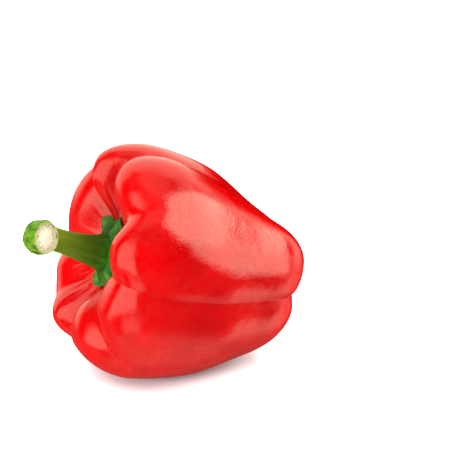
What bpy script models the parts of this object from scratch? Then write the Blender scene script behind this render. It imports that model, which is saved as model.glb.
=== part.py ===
"""Red bell pepper lying on its side: the lobed fruit, its calyx and its hooked, cut stem.

The fruit is modelled round its own axis, with the stem end up (+Z) and the floor of the stem dimple at
the origin, and an empty then lays it down on two of its lobes. Angles run clockwise round that axis,
seen from the stem: 0 faces up once the fruit lies down, 90 faces -Y, 180 down and 270 +Y.
"""
import math
from collections import namedtuple

import bmesh
import bpy
import numpy as np
from mathutils import Matrix, Vector

MM = 0.001

# ---- Overall sizes of the fruit, in millimetres; each lobe and cheek below varies round them ----
BODY_LENGTH = 67.0       # floor of the stem dimple to the blossom end
SHOULDER_RADIUS = 43.0   # widest part, near the stem end
MIDDLE_RADIUS = 41.0
LOWER_RADIUS = 31.0
TIP_RADIUS = 23.0
CREST_RADIUS = 28.5      # ring of cheeks round the stem dimple
CREST_HEIGHT = 9.5       # height of those cheeks above the dimple's floor
FLOOR_RADIUS = 11.0      # flat floor of the stem dimple
TIP_DIMPLE = 5.0         # depth of the dimple at the blossom end

# ---- How it lies ----
LYING_TILT = 16.0        # degrees that the stem points above level
REST_PRESS = 0.8         # depth of the small flats where the lobes bear on the table

# ---- Calyx ----
CALYX_RADIUS = 13.4
CALYX_TOOTH = 1.6        # how far its points reach past that radius, and the notches fall short of it
CALYX_TEETH = 6
CALYX_TURN = 15.0        # angle of the first point
CALYX_RIM = 1.3          # thickness at the rim
COLLAR_HEIGHT = 4.6      # top of the calyx, where the stem stands
COLLAR_RADIUS = 7.2

# ---- Stem ----
STEM_REACH = 31.0        # dimple's floor to the middle of the hooked end
STEM_SIDEWAYS = 10.2     # how far the hook brings the cut towards -Y
STEM_RISE = 5.3
STEM_RADIUS = 4.1        # at its slimmest, before the hook
KNOB_RADIUS = 6.2
CUT_NORMAL = (0.35, -0.81, -0.47)   # towards angle 0, away from angle 270 and back along the axis

GAP = 0.35               # between touching pieces
COLUMNS_PER_CHEEK = 12
FRUIT_ROWS = 31
STEM_SIDES = 24
STEM_ROWS = 30

# The four lobes, in order of angle. Each changes the overall sizes by its own few millimetres.
Lobe = namedtuple("Lobe", "ridge shoulder middle lower tip droop")
LOBES = (
    Lobe(ridge=44.0, shoulder=1.5, middle=-3.5, lower=-2.0, tip=-1.0, droop=2.0),
    Lobe(ridge=136.0, shoulder=2.5, middle=2.0, lower=3.0, tip=2.0, droop=1.0),
    Lobe(ridge=218.0, shoulder=-3.0, middle=2.5, lower=2.0, tip=1.0, droop=0.0),
    Lobe(ridge=314.0, shoulder=-1.5, middle=-1.0, lower=-3.5, tip=-2.0, droop=-1.0),
)
# The valley before each lobe runs from the dimple, at stem_angle, to the blossom end, at body_angle.
Valley = namedtuple("Valley", "stem_angle body_angle stem_depth body_depth tip_depth")
VALLEYS = (
    Valley(stem_angle=0.0, body_angle=10.0, stem_depth=7.5, body_depth=3.0, tip_depth=5.0),
    Valley(stem_angle=90.0, body_angle=92.0, stem_depth=2.5, body_depth=2.0, tip_depth=3.0),
    Valley(stem_angle=190.0, body_angle=180.0, stem_depth=4.5, body_depth=3.5, tip_depth=5.0),
    Valley(stem_angle=255.0, body_angle=262.0, stem_depth=4.5, body_depth=3.5, tip_depth=5.0),
)
# A short fold splits each lobe's shoulder into two cheeks, and fades out along the ridge.
Fold = namedtuple("Fold", "stem_angle depth softness")
FOLDS = (
    Fold(stem_angle=50.0, depth=4.5, softness=0.6),
    Fold(stem_angle=138.0, depth=6.0, softness=0.2),
    Fold(stem_angle=218.0, depth=1.0, softness=0.3),
    Fold(stem_angle=334.0, depth=8.0, softness=0.15),
)
Cheek = namedtuple("Cheek", "height radius")
CHEEKS = (
    Cheek(-0.5, 3.0), Cheek(1.5, 2.0), Cheek(-0.5, -2.5), Cheek(-0.5, -4.0),
    Cheek(1.0, 3.0), Cheek(-1.0, 1.5), Cheek(-1.0, -1.0), Cheek(1.5, 0.0),
)
CHEEK_COUNT = len(CHEEKS)
VALLEY_MARKS = np.arange(0, CHEEK_COUNT, 2)     # valleys lie at even marks, folds and ridges at odd ones
RIDGE_MARKS = np.arange(1, CHEEK_COUNT, 2)

FRUIT_RED = (0.75, 0.01, 0.012)
CALYX_GREEN = (0.035, 0.16, 0.02)
STEM_GREEN = (0.13, 0.24, 0.02)


# ---- Shape functions ----
def wrap_round(marks, values):
    """Repeats the last and first value so that a row of marks closes on itself."""
    marks = np.concatenate([[marks[-1] - CHEEK_COUNT], marks, [marks[0] + CHEEK_COUNT]])
    return marks, np.concatenate([[values[-1]], values, [values[0]]])


def swell(turn, marks, values):
    """Eases smoothly from each mark's value to the next, all the way round."""
    marks, values = wrap_round(np.asarray(marks, float), np.asarray(values, float))
    k = np.clip(np.searchsorted(marks, turn, side="right") - 1, 0, len(marks) - 2)
    u = (turn - marks[k]) / (marks[k + 1] - marks[k])
    return values[k] + (values[k + 1] - values[k]) * u * u * (3.0 - 2.0 * u)


def crease(turn, marks, depths, softness, reach):
    """Depth of creases at the marks: narrow where they are not soft, and gone at their reach."""
    total = np.zeros_like(turn)
    for mark, depth, soft in zip(marks, depths, softness):
        away = np.abs((turn - mark + CHEEK_COUNT / 2.0) % CHEEK_COUNT - CHEEK_COUNT / 2.0)
        d = np.clip(away / reach, 0.0, 1.0)
        d = (np.sqrt(d * d + soft * soft) - soft) / (math.sqrt(1.0 + soft * soft) - soft)
        total += depth * (1.0 - (1.0 - (1.0 - d) ** 2) ** 0.78)
    return total


def spline_weights(control_count, sample_count):
    """Weights of a clamped cubic B-spline: one row per sample, one column per control point."""
    knots = np.concatenate([np.zeros(3), np.linspace(0.0, 1.0, control_count - 2), np.ones(3)])
    weights = np.zeros((sample_count, control_count))
    for row, u in enumerate(np.linspace(0.0, 1.0 - 1e-9, sample_count)):
        basis = np.zeros(len(knots) - 1)
        basis[np.searchsorted(knots, u, side="right") - 1] = 1.0
        for degree in (1, 2, 3):
            for i in range(len(knots) - 1 - degree):
                left = knots[i + degree] - knots[i]
                right = knots[i + degree + 1] - knots[i + 1]
                rising = (u - knots[i]) / left * basis[i] if left > 0.0 else 0.0
                falling = (knots[i + degree + 1] - u) / right * basis[i + 1] if right > 0.0 else 0.0
                basis[i] = rising + falling
        weights[row] = basis[:control_count]
    return weights


def mark_angles(turn, angles):
    """Angle in degrees at each turn value, straight between the angles of the marks."""
    closed = list(angles) + [angles[0] + 360.0]
    return np.interp(turn, np.arange(CHEEK_COUNT + 1), closed)


def fruit_columns():
    """Turn values of the mesh columns, closer together near the creases."""
    step = (1.0 - np.cos(np.pi * np.arange(COLUMNS_PER_CHEEK) / COLUMNS_PER_CHEEK)) / 2.0
    return (np.arange(CHEEK_COUNT)[:, None] + step).ravel()


def fruit_grid(turn, rows):
    """Radius, height and angle of the fruit's surface: rows from the dimple's floor to the blossom end."""
    cheek_marks = np.arange(CHEEK_COUNT) + 0.5
    crest_height = CREST_HEIGHT + swell(turn, cheek_marks, [c.height for c in CHEEKS])
    crest_radius = CREST_RADIUS + swell(turn, cheek_marks, [c.radius for c in CHEEKS])
    valley = crease(turn, VALLEY_MARKS, [v.stem_depth for v in VALLEYS], (0.12,) * 4, 0.5)
    fold = crease(turn, RIDGE_MARKS, [f.depth for f in FOLDS], [f.softness for f in FOLDS], 0.5)
    dip = valley + fold
    groove = crease(turn, VALLEY_MARKS, [v.body_depth for v in VALLEYS], (0.25,) * 4, 1.0)
    tuck = crease(turn, VALLEY_MARKS, [v.tip_depth for v in VALLEYS], (0.15,) * 4, 1.0)
    shoulder = SHOULDER_RADIUS + swell(turn, RIDGE_MARKS, [b.shoulder for b in LOBES])
    middle = MIDDLE_RADIUS + swell(turn, RIDGE_MARKS, [b.middle for b in LOBES])
    lower = LOWER_RADIUS + swell(turn, RIDGE_MARKS, [b.lower for b in LOBES])
    tip = TIP_RADIUS + swell(turn, RIDGE_MARKS, [b.tip for b in LOBES])
    droop = swell(turn, RIDGE_MARKS, [b.droop for b in LOBES])
    end = -BODY_LENGTH
    one = np.ones_like(turn)
    # Control rings of the profile: radius, height, and how far the crease has moved to its body angle.
    rings = (
        (0.0 * one, 0.0 * one, 0.0),
        (FLOOR_RADIUS * 0.6 * one, 0.0 * one, 0.0),
        (FLOOR_RADIUS * one, 0.0 * one, 0.0),
        (crest_radius * 0.62, crest_height * 0.45 - dip * 0.55, 0.0),
        (crest_radius * 0.88, crest_height * 1.28 - dip, 0.0),
        ((crest_radius + shoulder) / 2.0 + 2.0 - dip * 0.15, crest_height * 1.28 - dip * 0.9, 0.1),
        (shoulder * 1.04 - valley * 0.35 - fold * 0.1 - groove * 0.4,
         crest_height * 0.2 - valley * 0.3 - fold * 0.1 - 6.0, 0.35),
        (shoulder - valley * 0.08 - groove * 0.9, 0.26 * end * one, 0.7),
        (middle - groove, 0.50 * end * one, 1.0),
        (lower - groove - tuck * 0.15, 0.76 * end * one, 1.0),
        (tip * 1.12 - tuck * 0.7, end - droop + 4.0 + tuck * 0.3, 1.0),
        (tip * 0.66 - tuck * 0.35, end - droop - 5.0 + tuck * 0.8, 1.0),
        (tip * 0.30 - tuck * 0.1, end - droop / 2.0 + tuck * 0.8, 1.0),
        (2.2 * one, (end + TIP_DIMPLE) * one, 1.0),
        (0.0 * one, (end + TIP_DIMPLE) * one, 1.0),
    )
    weights = spline_weights(len(rings), rows)
    radius = weights @ np.array([ring[0] for ring in rings])
    height = weights @ np.array([ring[1] for ring in rings])
    moved = weights @ np.array([ring[2] for ring in rings])
    stem_angles = [a for v, f in zip(VALLEYS, FOLDS) for a in (v.stem_angle, f.stem_angle)]
    body_angles = [a for v, b in zip(VALLEYS, LOBES) for a in (v.body_angle, b.ridge)]
    at_stem = mark_angles(turn, stem_angles)
    at_body = mark_angles(turn, body_angles)
    return radius, height, at_stem + np.outer(moved, at_body - at_stem)


def around(radius, height, angle_degrees):
    """Points at a radius, height and angle round the fruit's axis."""
    a = np.radians(angle_degrees)
    return np.stack(np.broadcast_arrays(radius * np.cos(a), -radius * np.sin(a), height), axis=-1)


# ---- Mesh helpers ----
def join_rings(mesh, rings):
    """Quads between each ring of vertices and the next."""
    for upper, lower in zip(rings, rings[1:]):
        for i, vertex in enumerate(upper):
            after = (i + 1) % len(upper)
            mesh.faces.new((vertex, lower[i], lower[after], upper[after]))


def close_ring(mesh, ring, point):
    """Triangles from a ring of vertices to one point."""
    centre = mesh.verts.new(point)
    for i, vertex in enumerate(ring):
        mesh.faces.new((vertex, ring[(i + 1) % len(ring)], centre))


def solid_of_rings(name, rings, first_point, last_point):
    """A closed mesh of stacked rings, closed by a point at each end; points are in millimetres."""
    mesh = bmesh.new()
    vertices = [[mesh.verts.new(point) for point in ring] for ring in rings]
    join_rings(mesh, vertices)
    close_ring(mesh, vertices[0], first_point)
    close_ring(mesh, vertices[-1], last_point)
    return finish_mesh(name, mesh)


def finish_mesh(name, mesh):
    """Scales a mesh to metres, points its faces outwards and shades it smooth."""
    bmesh.ops.scale(mesh, vec=(MM, MM, MM), verts=mesh.verts)
    bmesh.ops.recalc_face_normals(mesh, faces=mesh.faces)
    data = bpy.data.meshes.new(name)
    mesh.to_mesh(data)
    mesh.free()
    data.shade_smooth()
    data.set_sharp_from_angle(angle=math.radians(50.0))
    return data


def material(name, colour, roughness):
    skin = bpy.data.materials.new(name)
    skin.use_nodes = True
    shader = skin.node_tree.nodes["Principled BSDF"]
    shader.inputs["Base Color"].default_value = (*colour, 1.0)
    shader.inputs["Roughness"].default_value = roughness
    shader.inputs["Metallic"].default_value = 0.0
    skin.diffuse_color = (*colour, 1.0)
    return skin


def add_piece(name, data, skin, parent):
    piece = bpy.data.objects.new(name, data)
    data.materials.append(skin)
    piece.parent = parent
    bpy.context.scene.collection.objects.link(piece)
    return piece


# ---- Lying down ----
def lying_rotation():
    """Turns the fruit's axis from +Z to the stem's direction, with angle 0 on top and angle 90 facing -Y."""
    return Matrix.Rotation(math.radians(LYING_TILT - 90.0), 3, "Y")


def press_on_table(points, rotation):
    """Flattens what lies lowest, so that the fruit bears on small flats instead of on points."""
    up = np.array(rotation[2])
    height = points @ up
    table = height.min() + REST_PRESS
    return points + np.maximum(table - height, 0.0)[..., None] * up, table


# ---- The pieces ----
def make_fruit(rotation):
    turn = fruit_columns()
    points = around(*fruit_grid(turn, FRUIT_ROWS))
    points, table = press_on_table(points, rotation)
    return solid_of_rings("fruit", points[1:-1], points[0, 0], points[-1, 0]), table


def dimple_height(radius):
    """Height of the stem dimple's surface at one radius per mesh column."""
    grid_radius, grid_height, _ = fruit_grid(fruit_columns(), FRUIT_ROWS)
    wall = FRUIT_ROWS // 3
    return np.array([np.interp(r, grid_radius[:wall, i], grid_height[:wall, i]) for i, r in enumerate(radius)])


def make_calyx():
    """A toothed disc: its underside follows the dimple, and its top slopes up to the collar."""
    _, _, angles = fruit_grid(fruit_columns(), FRUIT_ROWS)
    angle = angles[0]
    turns = (angle - CALYX_TURN) * CALYX_TEETH / 360.0
    to_point = 1.0 - 4.0 * np.abs(turns - np.round(turns))       # 1 at a point, -1 at a notch
    outline = CALYX_RADIUS + CALYX_TOOTH * to_point
    rings = []
    for share in (0.45, 0.75, 1.0):
        radius = outline * share
        rings.append(around(radius, dimple_height(radius) + GAP, angle))
    for share, lift in ((1.0, 0.6), (0.96, 1.0), (0.8, 1.5)):
        radius = outline * share
        rings.append(around(radius, dimple_height(radius) + GAP + CALYX_RIM * lift, angle))
    rings.append(around(COLLAR_RADIUS * 1.12, COLLAR_HEIGHT - 1.0, angle))
    rings.append(around(COLLAR_RADIUS, COLLAR_HEIGHT, angle))
    return solid_of_rings("calyx", rings, (0.0, 0.0, GAP), (0.0, 0.0, COLLAR_HEIGHT))


def stem_path():
    """Centre line and radius of the stem, from its foot on the collar through the hook to past the cut."""
    foot = COLLAR_HEIGHT + GAP
    hook = STEM_REACH - foot
    # Control points: rise, sideways and reach as shares of the sizes above, then the radius.
    guide = (
        (0.00, 0.00, 0.00, COLLAR_RADIUS - 0.4),
        (0.04, 0.03, 0.09, STEM_RADIUS * 1.5),
        (0.15, 0.10, 0.28, STEM_RADIUS * 1.3),
        (0.30, 0.18, 0.48, STEM_RADIUS * 1.15),
        (0.48, 0.18, 0.70, STEM_RADIUS * 1.02),
        (0.60, 0.16, 0.93, STEM_RADIUS * 1.2),
        (0.72, 0.50, 1.04, KNOB_RADIUS * 1.12),
        (0.90, 0.85, 1.02, KNOB_RADIUS * 0.98),
        (1.10, 1.30, 0.98, KNOB_RADIUS * 0.84),
        (1.30, 1.80, 0.92, KNOB_RADIUS * 0.80),
    )
    points = np.array([(g[0] * STEM_RISE, -g[1] * STEM_SIDEWAYS, foot + g[2] * hook) for g in guide])
    weights = spline_weights(len(guide), STEM_ROWS)
    return weights @ points, weights @ np.array([g[3] for g in guide])


def tube_rings(path, radii):
    """Rings of points square to a path, turned as little as possible from one to the next."""
    tangents = np.gradient(path, axis=0)
    tangents[0] = (0.0, 0.0, 1.0)
    side = np.array((1.0, 0.0, 0.0))
    angles = 2.0 * np.pi * np.arange(STEM_SIDES) / STEM_SIDES
    rings = []
    for centre, tangent, radius in zip(path, tangents, radii):
        tangent = tangent / np.linalg.norm(tangent)
        side = side - tangent * (side @ tangent)
        side = side / np.linalg.norm(side)
        across = np.cross(tangent, side)
        circle = np.outer(np.cos(angles), side) + np.outer(np.sin(angles), across)
        rings.append(centre + radius * circle)
    return rings


def make_stem():
    path, radii = stem_path()
    mesh = bmesh.new()
    rings = [[mesh.verts.new(point) for point in ring] for ring in tube_rings(path, radii)]
    join_rings(mesh, rings)
    close_ring(mesh, rings[0], path[0])
    close_ring(mesh, rings[-1], path[-1])
    cut = Vector((STEM_RISE, -STEM_SIDEWAYS, STEM_REACH))
    hook = [vertex for vertex in mesh.verts if vertex.co.z > STEM_REACH / 2.0]
    hook += [edge for edge in mesh.edges if edge.verts[0].co.z > STEM_REACH / 2.0]
    hook += [face for face in mesh.faces if face.verts[0].co.z > STEM_REACH / 2.0]
    bmesh.ops.bisect_plane(mesh, geom=hook, plane_co=cut, plane_no=Vector(CUT_NORMAL), clear_outer=True)
    bmesh.ops.holes_fill(mesh, edges=[edge for edge in mesh.edges if edge.is_boundary])
    return finish_mesh("stem", mesh)


def centre_on_origin(frame, pieces, rotation, table):
    """Moves the whole pepper so that the middle of its box's base is the origin."""
    corners = np.array([rotation @ vertex.co for piece in pieces for vertex in piece.data.vertices])
    middle = (corners.min(axis=0) + corners.max(axis=0)) / 2.0
    frame.location = (-middle[0], -middle[1], -table * MM)


def main():
    for old in list(bpy.data.objects):
        bpy.data.objects.remove(old)
    rotation = lying_rotation()
    frame = bpy.data.objects.new("pepper_axis", None)
    frame.rotation_euler = rotation.to_euler()
    bpy.context.scene.collection.objects.link(frame)
    fruit_mesh, table = make_fruit(rotation)
    pieces = (
        add_piece("fruit", fruit_mesh, material("fruit_skin", FRUIT_RED, 0.22), frame),
        add_piece("calyx", make_calyx(), material("calyx_green", CALYX_GREEN, 0.6), frame),
        add_piece("stem", make_stem(), material("stem_green", STEM_GREEN, 0.5), frame),
    )
    centre_on_origin(frame, pieces, rotation, table)


main()
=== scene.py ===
"""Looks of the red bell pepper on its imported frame: skin, calyx, stem, floor, light and camera."""

import math
from collections import namedtuple

import bpy
import numpy as np
from mathutils import Matrix, Vector, noise


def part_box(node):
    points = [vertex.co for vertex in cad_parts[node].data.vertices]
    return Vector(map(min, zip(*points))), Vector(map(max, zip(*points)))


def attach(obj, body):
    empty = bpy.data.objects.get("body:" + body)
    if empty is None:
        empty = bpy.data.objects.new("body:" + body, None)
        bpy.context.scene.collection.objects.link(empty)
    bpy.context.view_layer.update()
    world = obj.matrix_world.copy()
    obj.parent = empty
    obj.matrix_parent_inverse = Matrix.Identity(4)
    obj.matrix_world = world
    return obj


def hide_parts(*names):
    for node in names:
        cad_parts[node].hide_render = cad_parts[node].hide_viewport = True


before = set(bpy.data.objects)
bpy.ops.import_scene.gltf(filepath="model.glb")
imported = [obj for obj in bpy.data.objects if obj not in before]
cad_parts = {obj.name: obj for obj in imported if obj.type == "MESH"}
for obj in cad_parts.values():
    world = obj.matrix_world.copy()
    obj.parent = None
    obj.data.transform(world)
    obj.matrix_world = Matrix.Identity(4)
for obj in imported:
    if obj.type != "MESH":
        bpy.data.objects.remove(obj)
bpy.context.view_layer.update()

MM = 0.001

# ---- Sizes of the part, in millimetres, as in its CAD source ----
BODY_LENGTH = 67.0
SHOULDER_RADIUS = 43.0
MIDDLE_RADIUS = 41.0
LOWER_RADIUS = 31.0
TIP_RADIUS = 23.0
CREST_RADIUS = 28.5
CREST_HEIGHT = 9.5
FLOOR_RADIUS = 11.0
TIP_DIMPLE = 5.0
LYING_TILT = 16.0
REST_PRESS = 0.8
CALYX_RADIUS = 13.4
CALYX_TOOTH = 1.6
CALYX_TEETH = 6
CALYX_TURN = 15.0
CALYX_RIM = 1.3
COLLAR_HEIGHT = 4.6
COLLAR_RADIUS = 7.2
STEM_REACH = 31.0
STEM_SIDEWAYS = 10.2
STEM_RISE = 5.3
STEM_RADIUS = 4.1
KNOB_RADIUS = 6.2
CUT_NORMAL = (0.35, -0.81, -0.47)
GAP = 0.35
CAD_COLUMNS_PER_CHEEK = 12
CAD_ROWS = 31

Lobe = namedtuple("Lobe", "ridge shoulder middle lower tip droop")
LOBES = (
    Lobe(ridge=44.0, shoulder=1.5, middle=-3.5, lower=-2.0, tip=-1.0, droop=2.0),
    Lobe(ridge=136.0, shoulder=2.5, middle=2.0, lower=3.0, tip=2.0, droop=1.0),
    Lobe(ridge=218.0, shoulder=-3.0, middle=2.5, lower=2.0, tip=1.0, droop=0.0),
    Lobe(ridge=314.0, shoulder=-1.5, middle=-1.0, lower=-3.5, tip=-2.0, droop=-1.0),
)
Valley = namedtuple("Valley", "stem_angle body_angle stem_depth body_depth tip_depth")
VALLEYS = (
    Valley(stem_angle=0.0, body_angle=10.0, stem_depth=7.5, body_depth=3.0, tip_depth=5.0),
    Valley(stem_angle=90.0, body_angle=92.0, stem_depth=2.5, body_depth=2.0, tip_depth=3.0),
    Valley(stem_angle=190.0, body_angle=180.0, stem_depth=4.5, body_depth=3.5, tip_depth=5.0),
    Valley(stem_angle=255.0, body_angle=262.0, stem_depth=4.5, body_depth=3.5, tip_depth=5.0),
)
Fold = namedtuple("Fold", "stem_angle depth softness")
FOLDS = (
    Fold(stem_angle=50.0, depth=4.5, softness=0.6),
    Fold(stem_angle=138.0, depth=6.0, softness=0.2),
    Fold(stem_angle=218.0, depth=1.0, softness=0.3),
    Fold(stem_angle=334.0, depth=8.0, softness=0.15),
)
Cheek = namedtuple("Cheek", "height radius")
CHEEKS = (
    Cheek(-0.5, 3.0), Cheek(1.5, 2.0), Cheek(-0.5, -2.5), Cheek(-0.5, -4.0),
    Cheek(1.0, 3.0), Cheek(-1.0, 1.5), Cheek(-1.0, -1.0), Cheek(1.5, 0.0),
)
CHEEK_COUNT = len(CHEEKS)
VALLEY_MARKS = np.arange(0, CHEEK_COUNT, 2)
RIDGE_MARKS = np.arange(1, CHEEK_COUNT, 2)

# ---- Fineness of the visible meshes ----
COLUMNS_PER_CHEEK = 48
FRUIT_ROWS = 236
CALYX_COLUMNS = 384
STEM_SIDES = 144
STEM_ROWS = 220

# Fine radial wrinkles of the dimple's wall: angle, inner and outer radius, height and width in mm.
Wrinkle = namedtuple("Wrinkle", "angle inner outer height width")
WRINKLES = (
    Wrinkle(191.0, 13.0, 20.0, 0.20, 0.45), Wrinkle(196.0, 12.0, 23.0, 0.28, 0.45),
    Wrinkle(200.5, 12.0, 20.0, 0.22, 0.35), Wrinkle(204.5, 12.0, 25.0, 0.34, 0.50),
    Wrinkle(209.0, 12.0, 20.0, 0.24, 0.40), Wrinkle(213.5, 12.0, 22.0, 0.30, 0.45),
    Wrinkle(219.0, 12.0, 19.0, 0.20, 0.45), Wrinkle(226.0, 12.0, 18.0, 0.12, 0.50),
    Wrinkle(339.0, 13.0, 28.0, 0.65, 0.65), Wrinkle(346.0, 13.0, 28.0, 0.80, 0.70),
    Wrinkle(353.0, 13.0, 24.0, 0.50, 0.55), Wrinkle(20.0, 13.0, 23.0, 0.20, 0.8),
    Wrinkle(36.0, 12.0, 21.0, 0.18, 0.7), Wrinkle(70.0, 12.0, 22.0, 0.20, 0.8),
    Wrinkle(112.0, 12.0, 22.0, 0.20, 0.8), Wrinkle(158.0, 12.0, 23.0, 0.22, 0.8),
    Wrinkle(276.0, 12.0, 22.0, 0.16, 0.8), Wrinkle(309.0, 12.0, 21.0, 0.14, 0.7),
)


# ---- Shape functions, as in the part's CAD source ----
def wrap_round(marks, values):
    marks = np.concatenate([[marks[-1] - CHEEK_COUNT], marks, [marks[0] + CHEEK_COUNT]])
    return marks, np.concatenate([[values[-1]], values, [values[0]]])


def swell(turn, marks, values):
    """Eases smoothly from each mark's value to the next, all the way round."""
    marks, values = wrap_round(np.asarray(marks, float), np.asarray(values, float))
    k = np.clip(np.searchsorted(marks, turn, side="right") - 1, 0, len(marks) - 2)
    u = (turn - marks[k]) / (marks[k + 1] - marks[k])
    return values[k] + (values[k + 1] - values[k]) * u * u * (3.0 - 2.0 * u)


def crease(turn, marks, depths, softness, reach):
    """Depth of creases at the marks: narrow where they are not soft, and gone at their reach."""
    total = np.zeros_like(turn)
    for mark, depth, soft in zip(marks, depths, softness):
        away = np.abs((turn - mark + CHEEK_COUNT / 2.0) % CHEEK_COUNT - CHEEK_COUNT / 2.0)
        d = np.clip(away / reach, 0.0, 1.0)
        d = (np.sqrt(d * d + soft * soft) - soft) / (math.sqrt(1.0 + soft * soft) - soft)
        total += depth * (1.0 - (1.0 - (1.0 - d) ** 2) ** 0.78)
    return total


def spline_weights(control_count, samples):
    """Weights of a clamped cubic B-spline: one row per sample from 0 to 1, one column per control point."""
    knots = np.concatenate([np.zeros(3), np.linspace(0.0, 1.0, control_count - 2), np.ones(3)])
    weights = np.zeros((len(samples), control_count))
    for row, u in enumerate(np.minimum(samples, 1.0 - 1e-9)):
        basis = np.zeros(len(knots) - 1)
        basis[np.searchsorted(knots, u, side="right") - 1] = 1.0
        for degree in (1, 2, 3):
            for i in range(len(knots) - 1 - degree):
                left = knots[i + degree] - knots[i]
                right = knots[i + degree + 1] - knots[i + 1]
                rising = (u - knots[i]) / left * basis[i] if left > 0.0 else 0.0
                falling = (knots[i + degree + 1] - u) / right * basis[i + 1] if right > 0.0 else 0.0
                basis[i] = rising + falling
        weights[row] = basis[:control_count]
    return weights


def mark_angles(turn, angles):
    closed = list(angles) + [angles[0] + 360.0]
    return np.interp(turn, np.arange(CHEEK_COUNT + 1), closed)


def fruit_columns(per_cheek):
    """Turn values of the mesh columns, closer together near the creases."""
    step = (1.0 - np.cos(np.pi * np.arange(per_cheek) / per_cheek)) / 2.0
    return (np.arange(CHEEK_COUNT)[:, None] + step).ravel()


def fruit_grid(turn, rows):
    """Radius, height and angle of the fruit's surface: rows from the dimple's floor to the blossom end."""
    cheek_marks = np.arange(CHEEK_COUNT) + 0.5
    crest_height = CREST_HEIGHT + swell(turn, cheek_marks, [c.height for c in CHEEKS])
    crest_radius = CREST_RADIUS + swell(turn, cheek_marks, [c.radius for c in CHEEKS])
    valley = crease(turn, VALLEY_MARKS, [v.stem_depth for v in VALLEYS], (0.12,) * 4, 0.5)
    fold = crease(turn, RIDGE_MARKS, [f.depth for f in FOLDS], [f.softness for f in FOLDS], 0.5)
    dip = valley + fold
    groove = crease(turn, VALLEY_MARKS, [v.body_depth for v in VALLEYS], (0.25,) * 4, 1.0)
    tuck = crease(turn, VALLEY_MARKS, [v.tip_depth for v in VALLEYS], (0.15,) * 4, 1.0)
    shoulder = SHOULDER_RADIUS + swell(turn, RIDGE_MARKS, [b.shoulder for b in LOBES])
    middle = MIDDLE_RADIUS + swell(turn, RIDGE_MARKS, [b.middle for b in LOBES])
    lower = LOWER_RADIUS + swell(turn, RIDGE_MARKS, [b.lower for b in LOBES])
    tip = TIP_RADIUS + swell(turn, RIDGE_MARKS, [b.tip for b in LOBES])
    droop = swell(turn, RIDGE_MARKS, [b.droop for b in LOBES])
    end = -BODY_LENGTH
    one = np.ones_like(turn)
    rings = (
        (0.0 * one, 0.0 * one, 0.0),
        (FLOOR_RADIUS * 0.6 * one, 0.0 * one, 0.0),
        (FLOOR_RADIUS * one, 0.0 * one, 0.0),
        (crest_radius * 0.62, crest_height * 0.45 - dip * 0.55, 0.0),
        (crest_radius * 0.88, crest_height * 1.28 - dip, 0.0),
        ((crest_radius + shoulder) / 2.0 + 2.0 - dip * 0.15, crest_height * 1.28 - dip * 0.9, 0.1),
        (shoulder * 1.04 - valley * 0.35 - fold * 0.1 - groove * 0.4,
         crest_height * 0.2 - valley * 0.3 - fold * 0.1 - 6.0, 0.35),
        (shoulder - valley * 0.08 - groove * 0.9, 0.26 * end * one, 0.7),
        (middle - groove, 0.50 * end * one, 1.0),
        (lower - groove - tuck * 0.15, 0.76 * end * one, 1.0),
        (tip * 1.12 - tuck * 0.7, end - droop + 4.0 + tuck * 0.3, 1.0),
        (tip * 0.66 - tuck * 0.35, end - droop - 5.0 + tuck * 0.8, 1.0),
        (tip * 0.30 - tuck * 0.1, end - droop / 2.0 + tuck * 0.8, 1.0),
        (2.2 * one, (end + TIP_DIMPLE) * one, 1.0),
        (0.0 * one, (end + TIP_DIMPLE) * one, 1.0),
    )
    weights = spline_weights(len(rings), np.linspace(0.0, 1.0, rows))
    radius = weights @ np.array([ring[0] for ring in rings])
    height = weights @ np.array([ring[1] for ring in rings])
    moved = weights @ np.array([ring[2] for ring in rings])
    stem_angles = [a for v, f in zip(VALLEYS, FOLDS) for a in (v.stem_angle, f.stem_angle)]
    body_angles = [a for v, b in zip(VALLEYS, LOBES) for a in (v.body_angle, b.ridge)]
    at_stem = mark_angles(turn, stem_angles)
    at_body = mark_angles(turn, body_angles)
    return radius, height, at_stem + np.outer(moved, at_body - at_stem)


def around(radius, height, angle_degrees):
    """Points at a radius, height and angle round the fruit's axis."""
    a = np.radians(angle_degrees)
    return np.stack(np.broadcast_arrays(radius * np.cos(a), -radius * np.sin(a), height), axis=-1)


def smooth_step(low, high, value):
    t = np.clip((value - low) / (high - low), 0.0, 1.0)
    return t * t * (3.0 - 2.0 * t)


# ---- Lying down, in the CAD frame ----
ROTATION = np.array(Matrix.Rotation(math.radians(LYING_TILT - 90.0), 3, "Y"))


def press_on_table(points, table):
    """Flattens what lies below the table's level along the fruit's own upward direction."""
    up = ROTATION[2]
    return points + np.maximum(table - points @ up, 0.0)[..., None] * up


def frame_place():
    """Level of the table in the fruit's own millimetres, and where the fruit's origin is in the CAD frame."""
    points = around(*fruit_grid(fruit_columns(CAD_COLUMNS_PER_CHEEK), CAD_ROWS))
    table = (points @ ROTATION[2]).min() + REST_PRESS
    corners = press_on_table(points, table) @ ROTATION.T
    corners = corners.reshape(-1, 3)
    low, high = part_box("fruit")
    middle = np.array((low + high) / 2.0) / MM
    return table, middle - (corners.min(axis=0) + corners.max(axis=0)) / 2.0


TABLE, ORIGIN = frame_place()


def to_frame(points):
    """From the fruit's own millimetres to the CAD frame's metres."""
    return (np.asarray(points) @ ROTATION.T + ORIGIN) * MM


# ---- Mesh helpers ----
def noise_at(points, size, offset):
    """Smooth noise from -1 to 1, with features about as wide as size; points and size are in millimetres."""
    flat = points.reshape(-1, 3) / size + offset
    return np.array([noise.noise(Vector(p)) for p in flat]).reshape(points.shape[:-1])


def grid_normals(points):
    """Unit normals of a grid that closes on itself along its second axis."""
    down = np.gradient(points, axis=0)
    across = np.roll(points, -1, axis=1) - np.roll(points, 1, axis=1)
    normals = np.cross(across, down)
    return normals / (np.linalg.norm(normals, axis=-1, keepdims=True) + 1e-9)


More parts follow.
